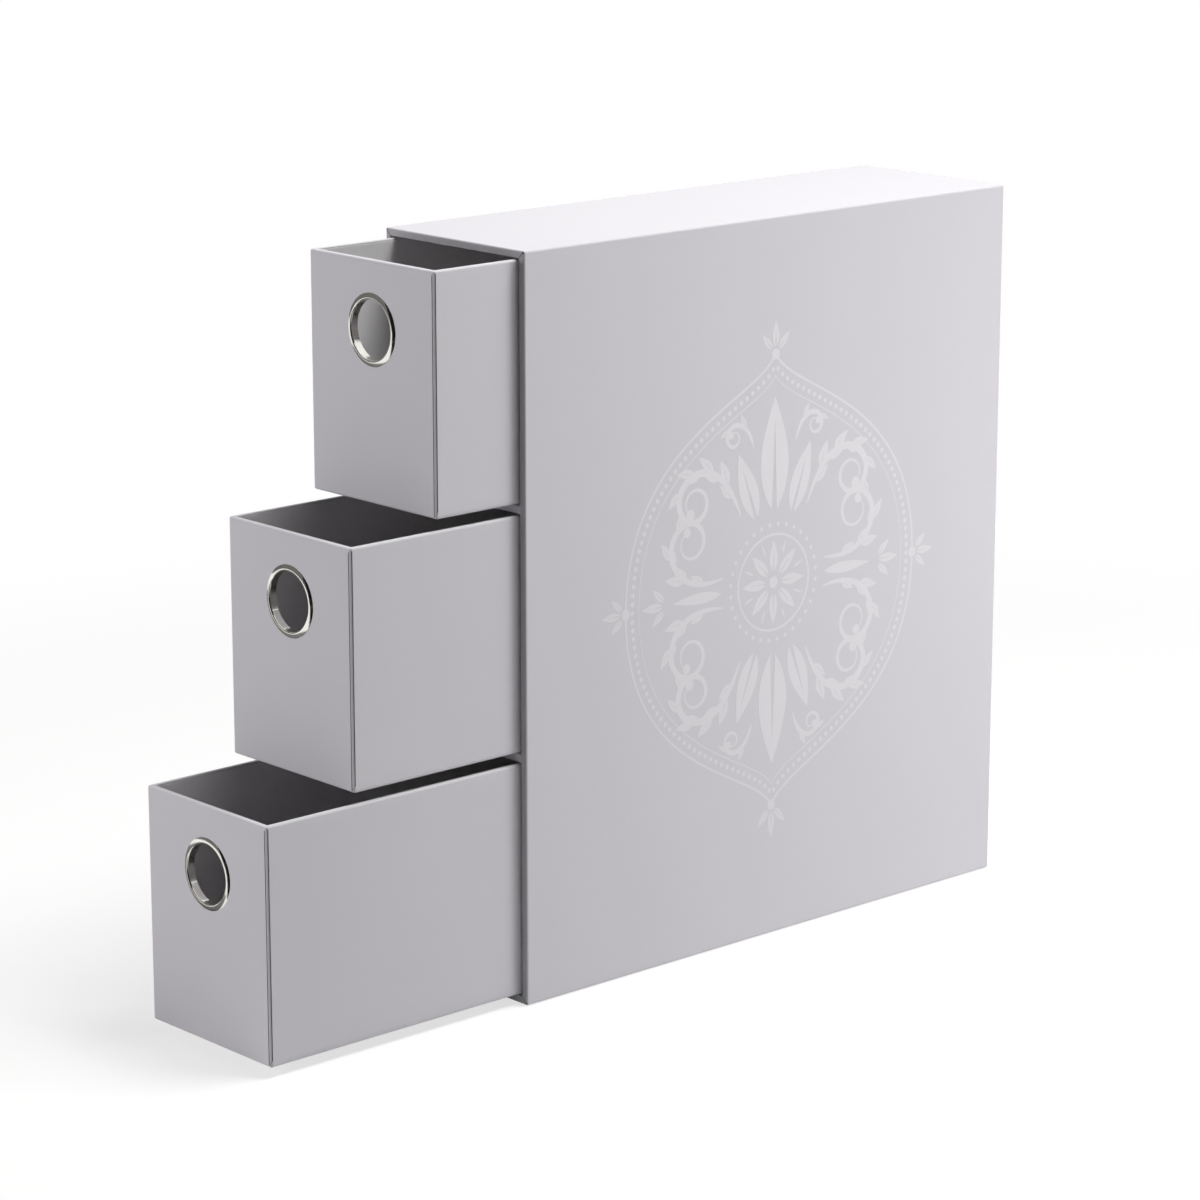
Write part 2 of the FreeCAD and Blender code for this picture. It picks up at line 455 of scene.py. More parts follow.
def joined(wire, parts):
    made = wire.node("GeometryNodeJoinGeometry")
    for part in parts:
        wire.tree.links.new(part.socket, made.socket.node.inputs["Geometry"])
    return made


# print on the broad side: drawn in reaches round its own middle, then scaled

printSizes = {
    "Reach": 87 * mm,  # from the middle of the print to the sides of its frame
    "Line Width": 0.034,  # the widest a drawn line gets, in reaches
    "Bead Radius": 0.0135,
    "Ink Depth": 0.035 * mm,
    "Overlap Lift": 0.003 * mm,  # what is drawn over something else stands this much higher
}

printDrawing = {  # lengths in reaches, turns in degrees, lines and beads as shares of the sizes above
    "leaves": {  # each one long
        "leaf": {"width": 0.33, "sway": 0.0, "slit": 0.03},
        "leftCurl": {"width": 0.40, "sway": 0.20, "slit": 0.022},
        "rightCurl": {"width": 0.40, "sway": -0.20, "slit": 0.022},
        "needle": {"width": 0.17, "sway": 0.0, "slit": 0.0},
    },
    "leafFullness": 0.8,  # under 1, a leaf is widest nearer its foot
    "leafOpenTo": 0.78,
    "leafSteps": 28,
    "leafWeld": 0.0001,
    "frame": [  # a quarter of it, from the point at the top round to the side
        {"top": 1.16, "topPull": (0.10, 0.94), "sidePull": (1.0, 0.86), "side": 1.0,
         "width": 1.0, "least": 0.35},
        {"top": 1.05, "topPull": (0.09, 0.87), "sidePull": (0.914, 0.78), "side": 0.914,
         "width": 0.3, "least": 0.6},
    ],
    "frameSteps": 60,
    "beadRow": {"top": 1.105, "topPull": (0.09, 0.90), "sidePull": (0.957, 0.82), "side": 0.957,
                "stretch": (0.02, 1.0), "count": 36, "lean": 0, "size": 0.9, "shrink": 0.0},
    "arms": {
        "main": {"start": (0.23, 0.37), "heading": 66, "bend": -20, "coil": -560, "length": 1.20,
                 "width": 1.1, "bead": 2.1},
        "low": {"start": (0.35, 0.075), "heading": -8, "bend": 60, "coil": 470, "length": 1.12,
                "width": 1.0, "bead": 1.9},
        "high": {"start": (0.145, 0.70), "heading": 72, "bend": -10, "coil": -480, "length": 0.50,
                 "width": 0.75, "bead": 1.4},
    },
    "armSteps": 120,
    "sprigs": [  # leaves beside a stretch of an arm
        {"arm": "main", "stretch": (0.16, 0.47), "count": 4, "lean": 34, "size": 0.145, "shrink": 0.25},
        {"arm": "main", "stretch": (0.10, 0.34), "count": 3, "lean": -34, "size": 0.115, "shrink": 0.2},
        {"arm": "low", "stretch": (0.24, 0.50), "count": 3, "lean": -36, "size": 0.13, "shrink": 0.2},
        {"arm": "low", "stretch": (0.12, 0.34), "count": 3, "lean": 36, "size": 0.10, "shrink": 0.2},
        {"arm": "high", "stretch": (0.25, 0.5), "count": 2, "lean": 36, "size": 0.08, "shrink": 0.2},
    ],
    "medallion": {"radius": 0.245, "width": 0.35, "steps": 120},
    "rosette": [
        {"shape": "leaf", "count": 8, "radius": 0.05, "middle": 22.5, "spread": 45, "size": 0.165},
        {"shape": "needle", "count": 8, "radius": 0.15, "middle": 0, "spread": 45, "size": 0.075},
    ],
    "facingFans": [  # each has a twin across the middle
        {"shape": "leaf", "count": 3, "radius": 0.355, "middle": 90, "spread": 20, "size": 0.59,
         "droop": 0.36},
        {"shape": "needle", "count": 1, "radius": 0.36, "middle": 0, "spread": 0, "size": 0.33},
        {"shape": "leaf", "count": 3, "radius": 0.03, "middle": 0, "spread": 42, "size": 0.14,
         "droop": 0.2, "centre": (0.722, 0)},
        {"shape": "leaf", "count": 3, "radius": 0.03, "middle": 0, "spread": 42, "size": 0.125,
         "droop": 0.2, "centre": (1.0, 0)},
        {"shape": "leaf", "count": 3, "radius": 0.03, "middle": 90, "spread": 42, "size": 0.14,
         "droop": 0.2, "centre": (0, 1.155)},
    ],
    "beads": [
        {"shape": "bead", "count": 1, "radius": 0.0, "middle": 0, "spread": 0, "size": 2.2},
        {"shape": "bead", "count": 32, "radius": 0.297, "middle": 0, "spread": 11.25, "size": 0.8},
        {"shape": "bead", "count": 2, "radius": 1.0, "middle": 90, "spread": 180, "size": 2.0},
        {"shape": "bead", "count": 2, "radius": 1.155, "middle": 0, "spread": 180, "size": 2.0},
    ],
    "beadSides": 24,
    "weld": 0.0004 * mm,  # for the finished print
}


def stacked(wire, parts, lift):
    # parts joined, each standing a little higher than the one before
    risen = []
    for number, part in enumerate(parts):
        rise = wire.node("ShaderNodeCombineXYZ", {}, {"Z": lift * number})
        risen.append(wire.node("GeometryNodeTransform", {}, {"Geometry": part, "Translation": rise}))
    return joined(wire, risen)


def polar(wire, angle, length):
    place = wire.node("ShaderNodeCombineXYZ", {},
                      {"X": wire.maths("COSINE", angle), "Y": wire.maths("SINE", angle)})
    return wire.node("ShaderNodeVectorMath", {"operation": "SCALE"}, {0: place, "Scale": length})


def shifted(wire, place, move):
    return wire.node("ShaderNodeVectorMath", {"operation": "ADD"}, {0: place, 1: (*move, 0)})


def bow(wire, line):
    return wire.node("GeometryNodeCurvePrimitiveBezierSegment", {"mode": "POSITION"},
                     {"Resolution": printDrawing["frameSteps"], "Start": (0, line["top"], 0),
                      "Start Handle": (*line["topPull"], 0), "End Handle": (*line["sidePull"], 0),
                      "End": (line["side"], 0, 0)})


def scroll(wire, arm):
    # a path that turns faster and faster
    steps = printDrawing["armSteps"] - 1
    along = wire.node("GeometryNodeInputIndex") / steps
    angle = math.radians(arm["heading"]) + along * math.radians(arm["bend"])
    angle = angle + along * along * math.radians(arm["coil"])
    step = polar(wire, angle, arm["length"] / steps)
    walked = wire.node("GeometryNodeAccumulateField", {"data_type": "FLOAT_VECTOR"}, {0: step},
                       out="Trailing")
    row = wire.node("GeometryNodeMeshLine", {"mode": "OFFSET"}, {"Count": steps + 1})
    bent = wire.node("GeometryNodeSetPosition", {},
                     {"Geometry": row, "Position": shifted(wire, walked, arm["start"])})
    return wire.node("GeometryNodeMeshToCurve", {}, {"Mesh": bent})


def drawnLine(wire, path, width, lean=0.7, least=0.16):
    # a flat line along a path, swelling where the pen leans and thin at its ends
    along = wire.node("GeometryNodeSplineParameter", out="Factor")
    swell = wire.maths("SINE", wire.maths("POWER", along, lean) * math.pi)
    nib = wire.node("GeometryNodeCurvePrimitiveLine", {}, {"Start": (-0.5, 0, 0), "End": (0.5, 0, 0)})
    flat = wire.node("GeometryNodeSetCurveNormal", {"mode": "Z_UP"}, {"Curve": path})
    return wire.node("GeometryNodeCurveToMesh", {},
                     {"Curve": flat, "Profile Curve": nib, "Scale": width * (swell * (1 - least) + least)})


def leafShape(wire, width, sway, slit):
    # a pointed leaf one long, lying along X, open down its middle for part of its length
    halves = []
    for side in (1, -1):
        grid = wire.node("GeometryNodeMeshGrid", {},
                         {"Size X": 1.0, "Size Y": 1.0, "Vertices X": printDrawing["leafSteps"],
                          "Vertices Y": 2})
        place = wire.node("ShaderNodeSeparateXYZ", {}, {0: wire.node("GeometryNodeInputPosition")}, out="X")
        along = place + 0.5
        across = place.out("Y") + 0.5
        fullness = wire.maths("POWER", along, printDrawing["leafFullness"])
        edge = wire.maths("SINE", fullness * math.pi) * (width / 2)
        inner = wire.maths("MAXIMUM", slit * (1 - along / printDrawing["leafOpenTo"]), 0.0)
        outer = wire.maths("MAXIMUM", edge, inner)
        offset = (inner + (outer - inner) * across) * side + along * along * sway
        bent = wire.node("ShaderNodeCombineXYZ", {}, {"X": along, "Y": offset})
        halves.append(wire.node("GeometryNodeSetPosition", {}, {"Geometry": grid, "Position": bent}))
    halves[1] = wire.node("GeometryNodeFlipFaces", {}, {"Mesh": halves[1]})
    return wire.node("GeometryNodeMergeByDistance", {},
                     {"Geometry": joined(wire, halves), "Distance": printDrawing["leafWeld"]})


def beadShape(wire, radius):
    return wire.node("GeometryNodeMeshCircle", {"fill_type": "NGON"},
                     {"Vertices": printDrawing["beadSides"], "Radius": radius})


def strew(wire, points, shape, turn, size, chosen=True):
    # copies of a shape on points, each turned about Z and sized
    turned = wire.node("ShaderNodeCombineXYZ", {}, {"Z": turn})
    return wire.node("GeometryNodeInstanceOnPoints", {},
                     {"Points": points, "Instance": shape, "Rotation": turned, "Scale": size,
                      "Selection": chosen})


def alongPath(wire, path, shape, row):
    # copies beside a stretch of a path, leaning away from it, smaller towards its end
    count = row["count"]
    part = wire.node("GeometryNodeTrimCurve", {"mode": "FACTOR"},
                     {"Curve": path, "Start": row["stretch"][0], "End": row["stretch"][1]})
    spread = wire.node("GeometryNodeCurveToPoints", {"mode": "COUNT"}, {"Curve": part, "Count": count})
    way = wire.node("ShaderNodeSeparateXYZ", {}, {0: spread.out("Tangent")}, out="X")
    heading = wire.maths("ARCTAN2", way.out("Y"), way)
    share = wire.node("GeometryNodeInputIndex") / (count - 1)
    scale = (1 - share * row["shrink"]) * row["size"]
    return strew(wire, spread, shape, heading + math.radians(row["lean"]), scale)


def atEnd(wire, path, shape, size):
    last = wire.node("GeometryNodeCurveEndpointSelection", {}, {"Start Size": 0, "End Size": 1})
    return strew(wire, path, shape, 0.0, (size,) * 3, last)


def fanOf(wire, shapes, fan, side=1):
    # copies round part of a circle, pointing away from its centre; side -1 turns the whole half round
    count = fan["count"]
    away = wire.node("GeometryNodeInputIndex") - (count - 1) / 2
    angle = math.radians(fan["middle"] + 90 - 90 * side) + away * math.radians(fan["spread"])
    centre = [side * length for length in fan.get("centre", (0, 0))]
    row = wire.node("GeometryNodeMeshLine", {"mode": "OFFSET"}, {"Count": count})
    place = shifted(wire, polar(wire, angle, fan["radius"]), centre)
    placed = wire.node("GeometryNodeSetPosition", {}, {"Geometry": row, "Position": place})
    scale = (1 - wire.maths("ABSOLUTE", away) * fan.get("droop", 0.0)) * fan["size"]
    return strew(wire, placed, shapes[fan["shape"]], angle, scale)


def fourWays(wire, quarter):
    index = wire.node("GeometryNodeInputIndex")
    right = 1 - wire.maths("MODULO", index, 2.0) * 2
    up = 1 - wire.maths("FLOOR", index / 2) * 2
    flip = wire.node("ShaderNodeCombineXYZ", {}, {"X": right, "Y": up, "Z": 1.0})
    middle = wire.node("GeometryNodeMeshLine", {"mode": "OFFSET"}, {"Count": 4, "Offset": (0, 0, 0)})
    return strew(wire, middle, quarter, 0.0, flip)


def printTree():
    drawing = printDrawing
    wire, given = newTree("sidePrint", printSizes)
    widest = given.out("Line Width")
    shapes = {name: leafShape(wire, **leaf) for name, leaf in drawing["leaves"].items()}
    shapes["bead"] = beadShape(wire, given.out("Bead Radius"))

    lines = []
    for line in drawing["frame"]:
        width = widest * line["width"]
        lines.append(drawnLine(wire, bow(wire, line), width, lean=1.0, least=line["least"]))
    row = drawing["beadRow"]
    beads = [alongPath(wire, bow(wire, row), shapes["bead"], row)]
    paths = {}
    for name, arm in drawing["arms"].items():
        paths[name] = scroll(wire, arm)
        lines.append(drawnLine(wire, paths[name], widest * arm["width"]))
        beads.append(atEnd(wire, paths[name], shapes["bead"], arm["bead"]))
    leaves = []
    for sprig in drawing["sprigs"]:
        curl = "rightCurl" if sprig["lean"] > 0 else "leftCurl"
        leaves.append(alongPath(wire, paths[sprig["arm"]], shapes[curl], sprig))

    medallion = drawing["medallion"]
    hoop = wire.node("GeometryNodeCurvePrimitiveCircle", {"mode": "RADIUS"},
                     {"Resolution": medallion["steps"], "Radius": medallion["radius"]})
    lift = given.out("Overlap Lift") / given.out("Reach") / (len(lines) - 1)
    lines = [fourWays(wire, stacked(wire, lines, lift)),
             drawnLine(wire, hoop, widest * medallion["width"], lean=1.0, least=1.0)]
    leaves = [fourWays(wire, stacked(wire, leaves, lift))]
    leaves += [fanOf(wire, shapes, fan) for fan in drawing["rosette"]]
    leaves += [fanOf(wire, shapes, fan, side) for fan in drawing["facingFans"] for side in (1, -1)]
    beads = [fourWays(wire, joined(wire, beads))]
    beads += [fanOf(wire, shapes, fan) for fan in drawing["beads"]]

    trueSize = wire.node("ShaderNodeVectorMath", {"operation": "SCALE"},
                         {0: (1, 1, 1), "Scale": given.out("Reach")})
    drawn = []
    for number, group in enumerate((lines, leaves, beads)):
        real = wire.node("GeometryNodeRealizeInstances", {}, {"Geometry": joined(wire, group)})
        rise = wire.node("ShaderNodeCombineXYZ", {}, {"Z": given.out("Overlap Lift") * number})
        drawn.append(wire.node("GeometryNodeTransform", {},
                               {"Geometry": real, "Scale": trueSize, "Translation": rise}))
    flat = joined(wire, drawn)
    raising = wire.node("ShaderNodeCombineXYZ", {}, {"Z": given.out("Ink Depth")})
    thick = wire.node("GeometryNodeExtrudeMesh", {"mode": "FACES"},
                      {"Mesh": flat, "Offset": raising, "Offset Scale": 1.0, "Individual": False})
    under = wire.node("GeometryNodeFlipFaces", {}, {"Mesh": flat})
    return closeTree(wire, given, joined(wire, [thick, under]))


def makeSidePrint():
    low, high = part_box("casing_wrap")
    middle = (low + high) / 2
    ground = high.x - casingSizes["printRoom"] - printSizes["Overlap Lift"]

    def standUp(point):  # the drawing's X runs back along the side and its Y up it
        return Vector((ground + point.z, middle.y + point.x, middle.z + point.y))

    made = treePiece("sidePrint", printTree(), ink, standUp, printDrawing["weld"])
    for face in made.data.polygons:
        face.use_smooth = False
    finishPiece(made, ink, "casing")


makeSidePrint()
print("side print made")


drawerSizes = {
    "paper": 0.2 * mm,
    "edge": 1.2 * mm,
    "footEdge": 1.5 * mm,
    "rimEdge": 0.9 * mm,
    "innerEdge": 0.35 * mm,
    "leastRadius": 0.1 * mm,
    "turnIn": 12.0 * mm,
    "holeRadius": 13.05 * mm,
    "holeSides": 96,
    "punchDepth": 2.0 * mm,
    "seamDepth": 0.13 * mm,
    "stripShare": 0.3,  # how deep the strip between the seams lies, as a share of theirs
    "seamHalf": 0.17 * mm,
    "frontFoot": 1.1 * mm,  # where the seams start over the foot and end under the rim
    "sideFoot": 3.2 * mm,
    "frontHead": 1.6 * mm,
    "sideHead": 1.1 * mm,
    "bendStep": 10,  # degrees between the rows of the foot and of the rim
    "innerStep": 15,
    "footEnd": 70,  # degrees round the foot at which its rows give way to the seams' own
}

# what a column of points shows: its depth, as a share of a seam's, and its dark seam mark
columnKinds = {"face": (0, 0), "seam": (1, 1), "strip": (drawerSizes["stripShare"], 0)}
# where the columns stand across a corner, from its front or rear face round to its side
flatBeside = 2 * mm
rightSeams = [
    ("face", (-flatBeside, -0.42 * mm)), ("seam", (-0.38 * mm, 0.01)), ("strip", (0.04, 0.25, 0.45, 0.64)),
    ("seam", (0.68, 0.84)), ("face", (0.88, 1, 1 + flatBeside)),
]
leftSeams = [
    ("face", (-flatBeside, 0, 0.15, 0.3, 0.46)), ("seam", (0.50, 0.56)), ("strip", (0.6, 0.76)),
    ("seam", (0.80, 0.95)), ("face", (0.99, 1 + flatBeside)),
]


def makePunch(front, level):
    # a plug through the drawer's front, which cuts the hole for the ring
    radius = drawerSizes["holeRadius"]
    towardsBack = Vector((0, 1, 0)).to_track_quat("Z", "Y").to_matrix()
    mesh = bpy.data.meshes.new("punch")
    bm = bmesh.new()
    bmesh.ops.create_cone(bm, cap_ends=True, segments=drawerSizes["holeSides"], radius1=radius,
                          radius2=radius, depth=drawerSizes["punchDepth"])
    bmesh.ops.rotate(bm, cent=(0, 0, 0), matrix=towardsBack, verts=bm.verts)
    bmesh.ops.translate(bm, vec=(0, front, level), verts=bm.verts)
    bm.to_mesh(mesh)
    bm.free()
    return addObject("punch", mesh)


def makeDrawerPaper():
    size = drawerSizes
    low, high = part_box("bottom_drawer_wrap")
    innerLow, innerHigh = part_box("bottom_drawer_floor_board")
    innerLow = innerLow + Vector((size["paper"], size["paper"], 0))
    innerHigh = innerHigh - Vector((size["paper"], size["paper"], 0))
    ringLow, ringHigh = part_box("bottom_drawer_finger_ring")
    height = high.z - low.z
    profiles = []
    for corner, seams in enumerate([leftSeams, rightSeams, rightSeams, leftSeams]):
        profile = [(place, *columnKinds[kind]) for kind, places in seams for place in places]
        if corner in (0, 2):
            profile = [(1 - station, depth, seamAndShade) for station, depth, seamAndShade in reversed(profile)]
        profiles.append(profile)
    stations = [[station for station, depth, seamAndShade in profile] for profile in profiles]
    columns = [column for profile in profiles for column in profile]
    flatDepths = [0.0] * len(columns)
    flatMarks = [0.0] * len(columns)
    seamDepths = [depth * size["seamDepth"] for station, depth, seamAndShade in columns]
    seamMarks = [float(seamAndShade) for station, depth, seamAndShade in columns]
    # the seam across the foot of the strip joins the two beside it
    crossMarks = [1.0 if depth > 0 else 0.0 for station, depth, seamAndShade in columns]
    crossDepths = [mark * size["seamDepth"] for mark in crossMarks]
    rows = []
    rowMarks = []

    def insetAt(level):  # how far the wall has turned in towards the foot or the rim
        foot = size["footEdge"]
        rim = size["rimEdge"]
        if level < foot:
            return foot - math.sqrt(max(foot ** 2 - (foot - level) ** 2, 0))
        if level > height - rim:
            return rim - math.sqrt(max(rim ** 2 - (level - height + rim) ** 2, 0))
        return 0

    def addWallRow(levels, depths, marks):
        points = []
        for place, (level, depth) in enumerate(zip(levels, depths)):
            inset = insetAt(level) + depth
            radius = max(size["edge"] - inset, size["leastRadius"])
            loop = roundLoop((low.x + inset, low.y + inset), (high.x - inset, high.y - inset),
                             radius, stations)
            points.append(Vector((*loop[place], low.z + level)))
        rows.append(points)
        rowMarks.append(marks)

    def addPlainRow(level):
        addWallRow([level] * len(columns), flatDepths, flatMarks)

    def addInnerRow(swell, level):
        grow = Vector((swell, swell, 0))
        loop = roundLoop((innerLow - grow).xy, (innerHigh + grow).xy, size["leastRadius"], stations)
        rows.append([Vector((x, y, low.z + level)) for x, y in loop])
        rowMarks.append(flatMarks)

    def seamEnds(front, side):  # heights on each column, sloping across the strip between the seams
        levels = []
        for corner, profile in enumerate(profiles):
            fromFront = [station if corner in (1, 3) else 1 - station for station in stations[corner]]
            seams = sorted(along for along, column in zip(fromFront, profile) if column[2])
            first = (seams[0] + seams[1]) / 2
            second = (seams[2] + seams[3]) / 2
            for along in fromFront:
                share = min(max((along - first) / (second - first), 0), 1)
                levels.append(front + (side - front) * share)
        return levels

    footLevels = seamEnds(size["frontFoot"], size["sideFoot"])
    headLevels = seamEnds(height - size["frontHead"], height - size["sideHead"])
    for degrees in range(0, size["footEnd"] + 1, size["bendStep"]):
        footTop = size["footEdge"] * (1 - math.cos(math.radians(degrees)))
        addPlainRow(footTop)
    half = size["seamHalf"]
    core = half / 3  # within this a seam across is at its full depth
    addWallRow([(footTop + level - half) / 2 for level in footLevels], flatDepths, flatMarks)
    addWallRow([level - half for level in footLevels], flatDepths, flatMarks)
    addWallRow([level - core for level in footLevels], crossDepths, crossMarks)
    addWallRow([level + core for level in footLevels], crossDepths, crossMarks)
    addWallRow([level + half for level in footLevels], seamDepths, seamMarks)
    addWallRow([level - half for level in headLevels], seamDepths, seamMarks)
    addWallRow(headLevels, flatDepths, flatMarks)
    for degrees in range(size["bendStep"], 90 + 1, size["bendStep"]):
        addPlainRow(height - size["rimEdge"] * (1 - math.sin(math.radians(degrees))))
    for degrees in range(0, 90 + 1, size["innerStep"]):
        turn = math.radians(degrees)
        swell = size["innerEdge"] * (1 - math.sin(turn))
        addInnerRow(swell, height - size["innerEdge"] * (1 - math.cos(turn)))
    addInnerRow(0, height - size["turnIn"])

    made = skinMesh("drawerPaper", rows, rowMarks)
    punch = makePunch(low.y, (ringLow.z + ringHigh.z) / 2)
    addModifier(made, "BOOLEAN", operation="DIFFERENCE", solver="EXACT", object=punch)
    settle(made, skinBits["sharpAngle"])
    bpy.data.objects.remove(punch)
    return made


def makeDrawerPapers():
    first = makeDrawerPaper()
    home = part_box("bottom_drawer_wrap")[0]
    for name in drawerNames:
        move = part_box(name + "_wrap")[0] - home
        made = addObject(name + "Paper", first.data.copy())
        for vert in made.data.vertices:
            vert.co += move
        finishPiece(made, paper, name, [name + "_wrap", name + "_corner_strips"])
    bpy.data.objects.remove(first)


makeDrawerPapers()
print("drawer papers made")


ringSizes = {
    "Flange Radius": 15.2 * mm,
    "Flange Rise": 0.7 * mm,
    "Crest Inset": 0.65 * mm,  # how far the crest lies outside the bore
    "Barrel Radius": 12.6 * mm,
    "Barrel Depth": 2.95 * mm,
    "Collar Reach": 1.9 * mm,
    "Collar Sheet": 0.35 * mm,
}

ringBits = {
    "footPull": 0.04 * mm,  # how the slope and the roll bend: sideways pulls, then shares of the rise
    "crestPull": 0.6 * mm,
    "rollPull": 0.25 * mm,
    "footShare": 0.2,
    "rollShare": 0.6,
    "bendSteps": 18,
    "sides": 160,
    "thread": 0.001 * mm,  # radius of the circle that the outline is swept round
    "weld": 0.004 * mm,
    "sharpAngle": 50,
}


def ringTree():
    bits = ringBits
    wire, given = newTree("fingerRing", ringSizes)
    flange = given.out("Flange Radius")
    rise = given.out("Flange Rise")
    bore = given.out("Barrel Radius")
    sheet = given.out("Collar Sheet")
    crest = bore + given.out("Crest Inset")
    wall = bore + sheet
    collar = bore + given.out("Collar Reach")
    rear = 0.0 - given.out("Barrel Depth")

    def spot(across, up):
        return wire.node("ShaderNodeCombineXYZ", {}, {"X": across, "Y": up})

    def run(start, end):
        return wire.node("GeometryNodeCurvePrimitiveLine", {}, {"Start": start, "End": end})

    def curve(start, startPull, endPull, end):
        return wire.node("GeometryNodeCurvePrimitiveBezierSegment", {"mode": "POSITION"},
                         {"Resolution": bits["bendSteps"], "Start": start, "Start Handle": startPull,
                          "End Handle": endPull, "End": end})

    # a long slope up from the drawer face, a crest beside the bore, then the barrel, the collar and back
    foot = spot(flange, 0.0)
    top = spot(crest, rise)
    mouth = spot(bore, 0.0)
    slope = curve(foot, spot(flange - bits["footPull"], rise * bits["footShare"]),
                  spot(crest + bits["crestPull"], rise), top)
    roll = curve(top, spot(bore + bits["rollPull"], rise), spot(bore, rise * bits["rollShare"]), mouth)
    corners = [mouth, spot(bore, rear), spot(collar, rear), spot(collar, rear + sheet),
               spot(wall, rear + sheet), spot(wall, 0.0), foot]
    runs = [run(start, end) for start, end in zip(corners, corners[1:])]
    outline = joined(wire, [slope, roll] + runs)
    circle = wire.node("GeometryNodeCurvePrimitiveCircle", {"mode": "RADIUS"},
                       {"Resolution": bits["sides"], "Radius": 1.0})
    # the circle has next to no width, so the outline's X is the true radius
    thin = wire.node("GeometryNodeTransform", {}, {"Geometry": circle, "Scale": (bits["thread"],) * 3})
    swept = wire.node("GeometryNodeCurveToMesh", {}, {"Curve": thin, "Profile Curve": outline})
    merged = wire.node("GeometryNodeMergeByDistance", {}, {"Geometry": swept, "Distance": bits["weld"]})
    return closeTree(wire, given, merged)


def makeRings():
    tree = ringTree()
    for name in drawerNames:
        low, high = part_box(name + "_finger_ring")
        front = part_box(name + "_wrap")[0].y
        centre = Vector(((low.x + high.x) / 2, front, (low.z + high.z) / 2))

        def faceFront(point):  # the sweep's axis turns to run into the drawer
            return Vector((point.x, point.z, point.y)) + centre

        made = treePiece(name + "Ring", tree, nickel, faceFront, ringBits["weld"])
        settle(made, ringBits["sharpAngle"])
        finishPiece(made, nickel, name, [name + "_finger_ring"])


makeRings()
print("finger rings made")


def dressNodes():
    slots = {entry["node"]: entry["material_slot"] for entry in frame["record"]["subparts"]}
    for name, node in frame["nodes"].items():
        node.data.materials.clear()
        node.data.materials.append(slotFinish[slots[name]])


dressNodes()
print("boards and linings dressed")


studio = {
    "air": 0.03,  # strength of the surrounding light
    "floorTone": (0.60, 0.60, 0.605, 1),  # what the floor throws back on the object
    "sweepTone": (0.95, 0.95, 0.95, 1),  # what the camera sees of it
    "floorHalf": 14.0,
    "shadowShare": 0.32,  # how much of the floor's own shade the camera keeps near the object
    "shadowNear": 0.35,
    "shadowFar": 0.8,
    "cardGrainPerMetre": 300,
    "cardDeepShare": 0.8,  # how light a card's dark grain is, as a share of its tone
}

lamps = {
    "overhead": {"place": (0.345, 0.24, 1.45), "aim": (0.0, 0.0, 0.25), "size": 0.65, "watts": 24.4,
                 "tint": (1.0, 1.014, 0.986), "mirrored": False},
    "frontLeft": {"place": (-0.9, -1.35, 0.40), "aim": (0.0, -0.2, 0.12), "size": 0.8, "watts": 14.1,
                  "tint": (1.0, 0.994, 1.006), "mirrored": False},
    "rearRight": {"place": (0.56, 0.54, 0.07), "aim": (0.04, 0.12, 0.05), "size": 0.38, "watts": 3.5,
                  "tint": (1.0, 0.994, 1.006), "mirrored": True},
}


def seenDirectly(wire):
    path = wire.node("ShaderNodeLightPath", out="Is Camera Ray")
    seen = wire.maths("MAXIMUM", path, path.out("Is Glossy Ray"))
    return wire.maths("MAXIMUM", seen, path.out("Is Transmission Ray"))


def addBoard(name, corners, material):
    mesh = bpy.data.meshes.new(name)
    mesh.from_pydata(corners, [], [(0, 1, 2, 3)])
    mesh.materials.append(material)
    return addObject(name, mesh)


def makeFloor():
    half = studio["floorHalf"]
    material, wire, place = newMaterial("paleFloor")
    reach = wire.node("ShaderNodeVectorMath", {"operation": "LENGTH"}, {0: place}, out="Value")
    far = wire.node("ShaderNodeMapRange", {"interpolation_type": "SMOOTHSTEP"},
                    {"Value": reach, "From Min": studio["shadowNear"], "From Max": studio["shadowFar"],
                     "To Min": 1 - studio["shadowShare"], "To Max": 1.0})
    ground = wire.node("ShaderNodeBsdfDiffuse", {}, {"Color": studio["floorTone"]})
    sweep = wire.node("ShaderNodeBsdfDiffuse", {}, {"Color": studio["sweepTone"]})
    white = wire.node("ShaderNodeEmission", {}, {"Color": (1, 1, 1, 1), "Strength": 1.0})
    pale = wire.node("ShaderNodeMixShader", {}, {0: far, 1: sweep, 2: white})
    shown = wire.node("ShaderNodeMixShader", {}, {0: seenDirectly(wire), 1: ground, 2: pale})
    wire.node("ShaderNodeOutputMaterial", {}, {"Surface": shown})
    corners = [(-half, -half, 0), (half, -half, 0), (half, half, 0), (-half, half, 0)]
    floor = addBoard("floor", corners, material)


cards = {  # boards that only shiny things show
    "frontCard": {"tone": 0.01, "corners": [(-0.36, -1.05, 0), (0.72, -1.05, 0), (0.72, -1.05, 1.7),
                                            (-0.36, -1.05, 1.7)]},
    "rightCard": {"tone": 0.01, "corners": [(0.72, -1.05, 0), (0.72, 0.25, 0), (0.72, 0.25, 1.1),
                                            (0.72, -1.05, 1.1)]},
    "groundCard": {"tone": 0.01, "corners": [(0, -0.34, 0.001), (-0.28, -1.04, 0.001), (0.71, -1.04, 0.001),
                                             (0.71, -0.34, 0.001)]},
    "leftCard": {"tone": 0.22, "corners": [(-1.3, -0.1, 0.16), (-0.37, -1.05, 0.16), (-0.37, -1.05, 1.7),
                                           (-1.3, -0.1, 1.7)]},
    "nearCard": {"tone": 0.2, "corners": [(-0.03, -0.385, 0.001), (-0.03, 0.3, 0.001), (-0.9, 0.3, 0.001),
                                          (-0.9, -0.7, 0.001)]},
}


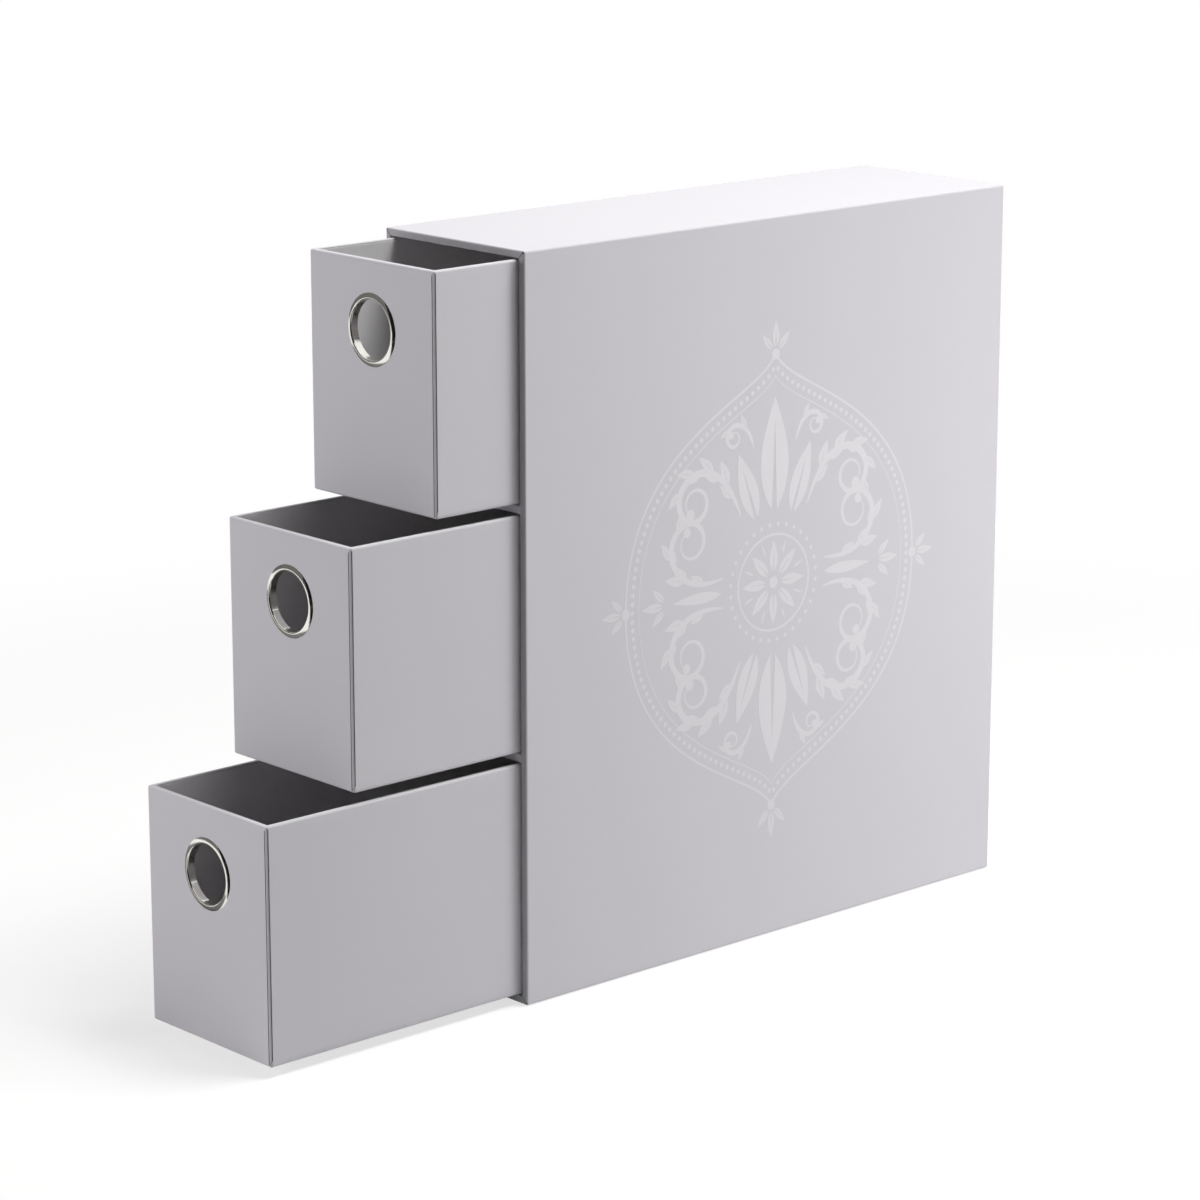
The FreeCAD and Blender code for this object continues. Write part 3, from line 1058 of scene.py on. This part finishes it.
def makeCards():
    for name, card in cards.items():
        material, wire, place = newMaterial(name)
        pale = card["tone"]
        deep = pale * studio["cardDeepShare"]
        grain = noise(wire, place, studio["cardGrainPerMetre"])
        shade = blendTones(wire, grain, (deep, deep, deep, 1), (pale, pale, pale, 1))
        skin = wire.node("ShaderNodeBsdfDiffuse", {}, {"Color": shade})
        wire.node("ShaderNodeOutputMaterial", {}, {"Surface": skin})
        made = addBoard(name, card["corners"], material)
        made.visible_camera = False
        made.visible_diffuse = False
        made.visible_transmission = False
        made.visible_shadow = False


def makeAir():
    world = bpy.data.worlds.new("studioAir")
    world.use_nodes = True
    world.node_tree.nodes.clear()
    wire = Wire(world.node_tree)
    seen = seenDirectly(wire)
    glow = wire.node("ShaderNodeBackground", {},
                     {"Color": (1, 1, 1, 1), "Strength": studio["air"] + (1 - studio["air"]) * seen})
    wire.node("ShaderNodeOutputWorld", {}, {"Surface": glow})
    scene.world = world


def makeLamps():
    for name, lamp in lamps.items():
        data = bpy.data.lights.new(name, "AREA")
        data.shape = "SQUARE"
        data.size = lamp["size"]
        data.energy = lamp["watts"]
        data.color = lamp["tint"]
        made = addObject(name, data)
        made.location = lamp["place"]
        made.rotation_mode = "QUATERNION"
        made.rotation_quaternion = (Vector(lamp["aim"]) - Vector(lamp["place"])).to_track_quat("-Z", "Y")
        made.visible_camera = False
        made.visible_glossy = lamp["mirrored"]


makeFloor()
makeCards()
makeAir()
makeLamps()
print("studio made")


cameraSetting = {
    "place": (1.2493, -1.1964, 0.5721),
    "back": (0.7186, -0.6526, 0.2402),  # from the object towards the camera
    "lens": 120.82,
    "sensor": 36.0,
}


def makeCamera():
    data = bpy.data.cameras.new("camera")
    data.lens = cameraSetting["lens"]
    data.sensor_width = cameraSetting["sensor"]
    camera = addObject("camera", data)
    camera.location = cameraSetting["place"]
    camera.rotation_mode = "QUATERNION"
    camera.rotation_quaternion = (-Vector(cameraSetting["back"])).to_track_quat("-Z", "Y")
    scene.camera = camera


makeCamera()
scene.view_settings.view_transform = "Standard"
print("camera placed")
